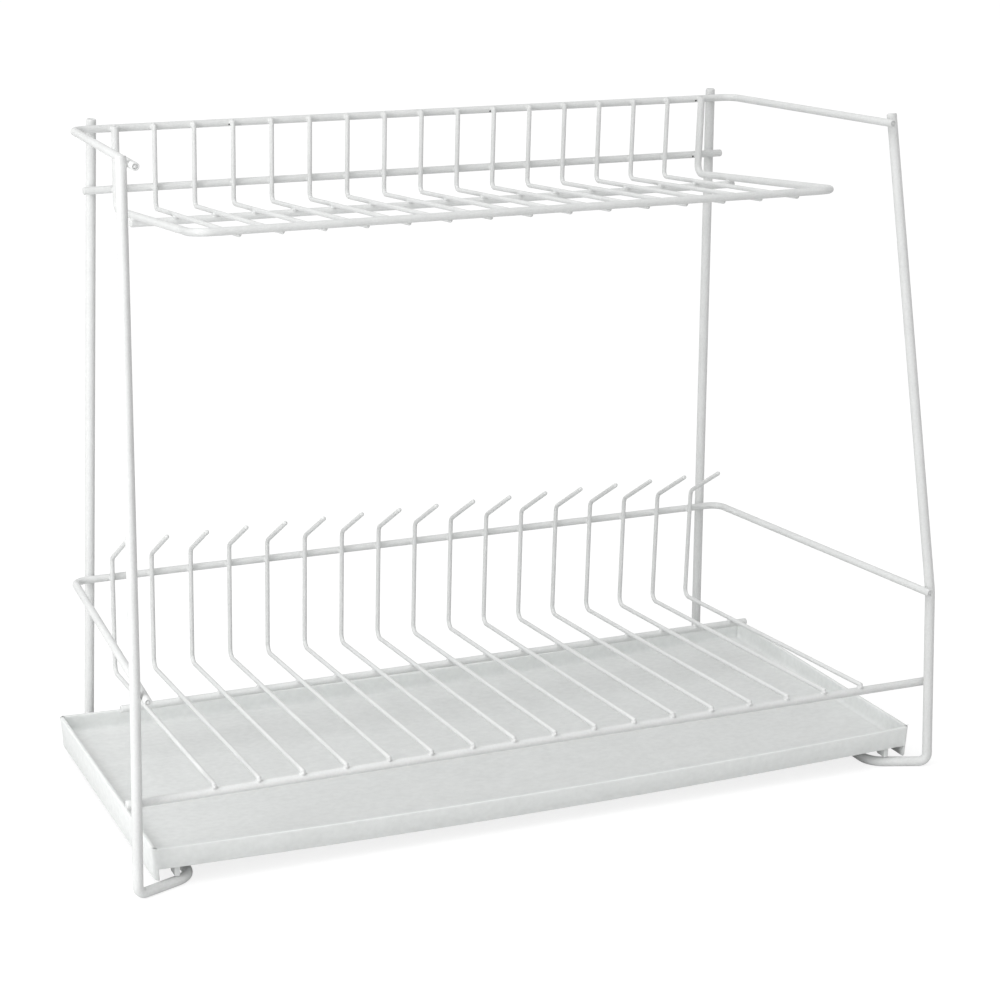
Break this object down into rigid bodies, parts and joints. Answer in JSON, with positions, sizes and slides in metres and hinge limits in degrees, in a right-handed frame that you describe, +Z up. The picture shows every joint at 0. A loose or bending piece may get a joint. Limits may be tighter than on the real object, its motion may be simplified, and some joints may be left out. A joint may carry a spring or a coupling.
{
  "type": "two-tier dish drainer",
  "caption": "Tiered dish drainer of white coated steel wire: an open cup shelf above, a rack of upright plate prongs below, and a shallow drip tray that slides out at the front.",
  "frame": {"origin": "on the floor under the middle of the drainer's bounding box", "axes": "+X to the right along the drainer's length as seen from the front, +Y to the rear, +Z up"},
  "size_m": [0.492, 0.2499, 0.3873],
  "materials": {
    "coated_wire": "white plastic-dipped coating on steel wire, fairly glossy",
    "tray_plastic": "satin light grey-white moulded plastic"
  },
  "bodies": {
    "rack": {"left_side_frame": "coated_wire", "right_side_frame": "coated_wire", "top_rail": "coated_wire", "upper_back_rail": "coated_wire", "shelf_rim": "coated_wire", "shelf_floor_rail": "coated_wire", "shelf_wire_01": "coated_wire", "shelf_wire_02": "coated_wire", "shelf_wire_03": "coated_wire", "shelf_wire_04": "coated_wire", "shelf_wire_05": "coated_wire", "shelf_wire_06": "coated_wire", "shelf_wire_07": "coated_wire", "shelf_wire_08": "coated_wire", "shelf_wire_09": "coated_wire", "shelf_wire_10": "coated_wire", "shelf_wire_11": "coated_wire", "shelf_wire_12": "coated_wire", "shelf_wire_13": "coated_wire", "shelf_wire_14": "coated_wire", "shelf_wire_15": "coated_wire", "plate_rail": "coated_wire", "front_rail": "coated_wire", "floor_rail": "coated_wire", "plate_prong_01": "coated_wire", "plate_prong_02": "coated_wire", "plate_prong_03": "coated_wire", "plate_prong_04": "coated_wire", "plate_prong_05": "coated_wire", "plate_prong_06": "coated_wire", "plate_prong_07": "coated_wire", "plate_prong_08": "coated_wire", "plate_prong_09": "coated_wire", "plate_prong_10": "coated_wire", "plate_prong_11": "coated_wire", "plate_prong_12": "coated_wire", "plate_prong_13": "coated_wire", "plate_prong_14": "coated_wire", "plate_prong_15": "coated_wire", "plate_prong_16": "coated_wire", "plate_prong_17": "coated_wire"},
    "tray": {"drip_tray": "tray_plastic"}
  },
  "joints": [
    {"name": "drip_tray_slide", "type": "slide", "parent": "rack", "child": "tray", "axis": [0, -1, 0], "range_m": [0, 0.09]}
  ]
}
